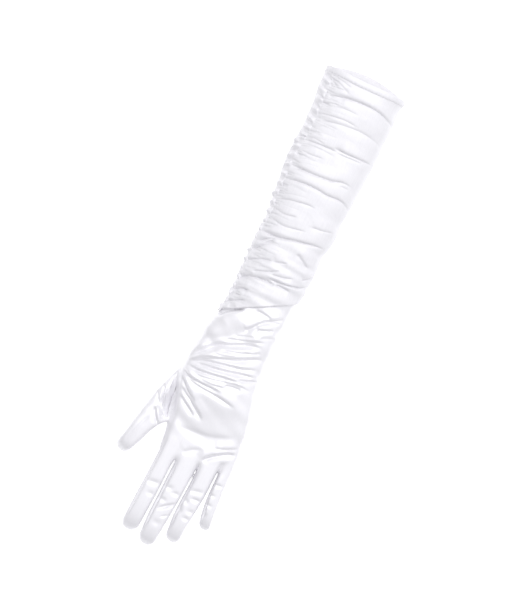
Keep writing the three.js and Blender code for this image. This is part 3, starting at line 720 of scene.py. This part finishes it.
def smoothed_and_folded(piece, share, sink, floor):
    """Relaxes a joined skin, most where fingers and thumb grow out of the palm, and moves it out
    along its normals by a share of the relief. Then it sinks the thumb's pits straight down, `sink`
    times as deep as their table says, and no lower than `floor`. The underside stays flat."""
    mesh = piece.data
    points = points_of(mesh)
    x, y = points[:, 0], points[:, 1]
    roots = smoothstep((y + 178) / 18) * smoothstep((-112 - y) / 14)
    from_thumb = np.abs((x - THUMB_SEAM[0]) * ACROSS_SEAM[0] + (y - THUMB_SEAM[1]) * ACROSS_SEAM[1])
    thumb_root = smoothstep((14 - from_thumb) / 10) * smoothstep((y + 140) / 12)
    thumb_root *= smoothstep((-62 - y) / 10)
    points = relaxed(mesh, points, 4, 0.5)
    points = relaxed(mesh, points, 30, 0.5 * np.maximum(roots, 0.1 * thumb_root)[:, None])
    set_points(mesh, points)
    normal = np.empty(points.size)
    mesh.vertices.foreach_get("normal", normal)
    normal = normal.reshape(-1, 3)
    height = share * hand_relief(points[:, 0], points[:, 1]) * smoothstep((normal[:, 2] + 0.1) / 0.6)
    upward = smoothstep((normal[:, 2] + 0.2) / 0.3)
    sunk = sink * dented(points[:, 0], points[:, 1], THUMB_PITS) * upward
    points = points + normal * height[:, None]
    points[:, 2] = np.maximum(points[:, 2] + sunk, np.minimum(points[:, 2], floor))
    return mesh, points


def cut(piece, tool, operation):
    """The piece less, or only within, the tool's solid."""
    change = piece.modifiers.new("cut", "BOOLEAN")
    change.operation, change.object, change.solver = operation, tool, "MANIFOLD"
    applied(piece)


hand = joined_cloth("satin_hand", hand_forms(grow=0.0, extra=0.0, fine=1.0), GRAIN)
mesh, points = smoothed_and_folded(hand, share=1.0, sink=1.0, floor=3.2)
points[:, 2] = np.where(points[:, 2] < FLAT_BELOW, 0, points[:, 2])
set_points(mesh, points)

# The hollow is folded a little deeper than the outside, so that no crease cuts through to it.
hollow = joined_cloth("hollow", hand_forms(grow=-WALL, extra=9.0, fine=0.5), HOLLOW_GRAIN)
mesh, points = smoothed_and_folded(hollow, share=1.15, sink=1.12, floor=1.5)
points[:, 2] = np.maximum(points[:, 2], SOLE)
set_points(mesh, points)
cut(hand, hollow, "DIFFERENCE")


def parted(name, outline):
    """A piece of its own of what the hand has within an upright prism over an outline in plan. The
    hand loses it."""
    low, high = [np.array([(x, y, z) for x, y in outline], float) for z in (-5, 40)]
    prism = cloth_piece("prism", np.stack([high, low]), ends="fans")
    piece = bpy.data.objects.new(name, hand.data.copy())
    bpy.context.scene.collection.objects.link(piece)
    cut(piece, prism, "INTERSECT")
    cut(hand, prism, "DIFFERENCE")
    bpy.data.objects.remove(prism)
    return piece


# The outline in plan of what lies beyond the root of the thumb and of each finger, taken in turn
digits = {
    "thumb": parted("set_in_thumb",
                    [(-43.4, -62), (-30.8, -136), (-45, -200), (-120, -200), (-120, -62)]),
    "index_finger": parted("index_finger_satin",
                           [(-9.4, -153), (-12, -260), (-60, -260), (-60, -153)]),
    "middle_finger": parted("middle_finger_satin",
                            [(11.9, -153), (9, -260), (-20, -260), (-20, -153)]),
    "ring_finger": parted("ring_finger_satin", [(30.6, -147), (30.6, -260), (0, -260), (0, -153)]),
    "little_finger": parted("little_finger_satin", [(70, -139), (70, -260), (25, -260), (25, -143)]),
}
bpy.data.objects.remove(hollow)

# White polyester satin, pulled smooth: the threads lie side by side in one direction, so it mirrors
# the lights in soft broad streaks.
smooth_satin = satin_finish("woven polyester satin, smooth", "#F3F2F5", "#EBEAEE", 0.22, 0.36, 0.10)
for node, piece in {"hand": hand, **digits}.items():
    piece.data.materials.clear()
    piece.data.materials.append(smooth_satin)
    piece.data.polygons.foreach_set("use_smooth", np.ones(len(piece.data.polygons), bool))
    piece.data.set_sharp_from_angle(angle=np.radians(62))
    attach(piece, "root")
    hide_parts(node)


# The ground, the light and the camera
# The glove lies on a white ground under soft light from the upper right. The camera looks straight
# down on it, turned so that the cuff is at the upper right.

REACH, BELOW = 3, -0.0002  # half the ground's side, and its height, a little under the glove
ground_mesh = bpy.data.meshes.new("ground")
ground_mesh.from_pydata([(-REACH, -REACH, BELOW), (REACH, -REACH, BELOW), (REACH, REACH, BELOW),
                         (-REACH, REACH, BELOW)], [], [(0, 1, 2, 3)])
ground = bpy.data.objects.new("ground", ground_mesh)
bpy.context.scene.collection.objects.link(ground)
# White card, evenly lit from below as well, which leaves no shadow on it
card = bpy.data.materials.new("white card, lit from below")
card.use_nodes = True
tree = card.node_tree
tree.nodes.clear()
board = add(tree, "ShaderNodeBsdfPrincipled", [],
            [("Base Color", linear("#F0F0F0")), ("Roughness", 0.9),
             ("Emission Color", linear("#FFFFFF")), ("Emission Strength", 0.55)])
add(tree, "ShaderNodeOutputMaterial", [("Surface", board.outputs[0])])
ground_mesh.materials.append(card)

TURN = np.radians(25.58)  # the glove's slant in the picture


def picture_way(right, up):
    """A direction or place along the ground that is measured in the picture's own directions."""
    cosine, sine = np.cos(TURN), np.sin(TURN)
    return np.array([right * cosine - up * sine, right * sine + up * cosine])


# The room: soft white light, brightest from above and a little to the picture's upper right, and dim
# from low down on the other side
world = bpy.data.worlds.new("studio")
bpy.context.scene.world = world
world.use_nodes = True
tree = world.node_tree
tree.nodes.clear()
TILT = np.radians(24)
brightest = (*np.sin(TILT) * picture_way(0.85, 0.53), np.cos(TILT))
way = add(tree, "ShaderNodeTexCoord").outputs["Generated"]
towards = add(tree, "ShaderNodeVectorMath", [(0, way)], [(1, brightest)], operation="DOT_PRODUCT")
fall = add(tree, "ShaderNodeMapRange", [("Value", towards.outputs["Value"])],
           [("From Min", 0.2), ("From Max", 0.97), ("To Min", 0.5), ("To Max", 1.08)],
           interpolation_type="SMOOTHSTEP")
glow = add(tree, "ShaderNodeBackground", [("Strength", fall.outputs[0])],
           [("Color", linear("#F8F8FB"))])
add(tree, "ShaderNodeOutputWorld", [("Surface", glow.outputs[0])])


def softbox(name, picture_x, picture_y, height, size, power):
    """A square area light above a place in the picture, in metres from its middle, and pointed at the
    glove."""
    lamp = bpy.data.lights.new(name, "AREA")
    lamp.energy, lamp.size = power, size
    x, y = picture_way(picture_x, picture_y)
    piece = bpy.data.objects.new(name, lamp)
    piece.location = (x, y, height)
    reach = np.hypot(x, y)
    piece.rotation_euler = (0, np.arctan2(reach, height), np.arctan2(y, x))
    bpy.context.scene.collection.objects.link(piece)


softbox("key softbox", 0.65, 1.15, 2.8, 1.8, 36.0)

lens = bpy.data.cameras.new("camera")
camera = bpy.data.objects.new("camera", lens)
bpy.context.scene.collection.objects.link(camera)
bpy.context.scene.camera = camera
CAMERA_HEIGHT = 2.6
MIDDLE_HEIGHT = 0.012  # where the scale of the picture is true, halfway up the glove
PICTURE_HEIGHT = 610 * 0.0009  # pixels, at 0.9 mm each
SENSOR = 24.0
camera.location = (SHIFT[0] / 1000, SHIFT[1] / 1000, CAMERA_HEIGHT)
camera.rotation_euler = (0, 0, TURN)
lens.sensor_fit, lens.sensor_height, lens.sensor_width = "VERTICAL", SENSOR, SENSOR
lens.lens = SENSOR * (CAMERA_HEIGHT - MIDDLE_HEIGHT) / PICTURE_HEIGHT
bpy.context.scene.view_settings.view_transform = "Standard"
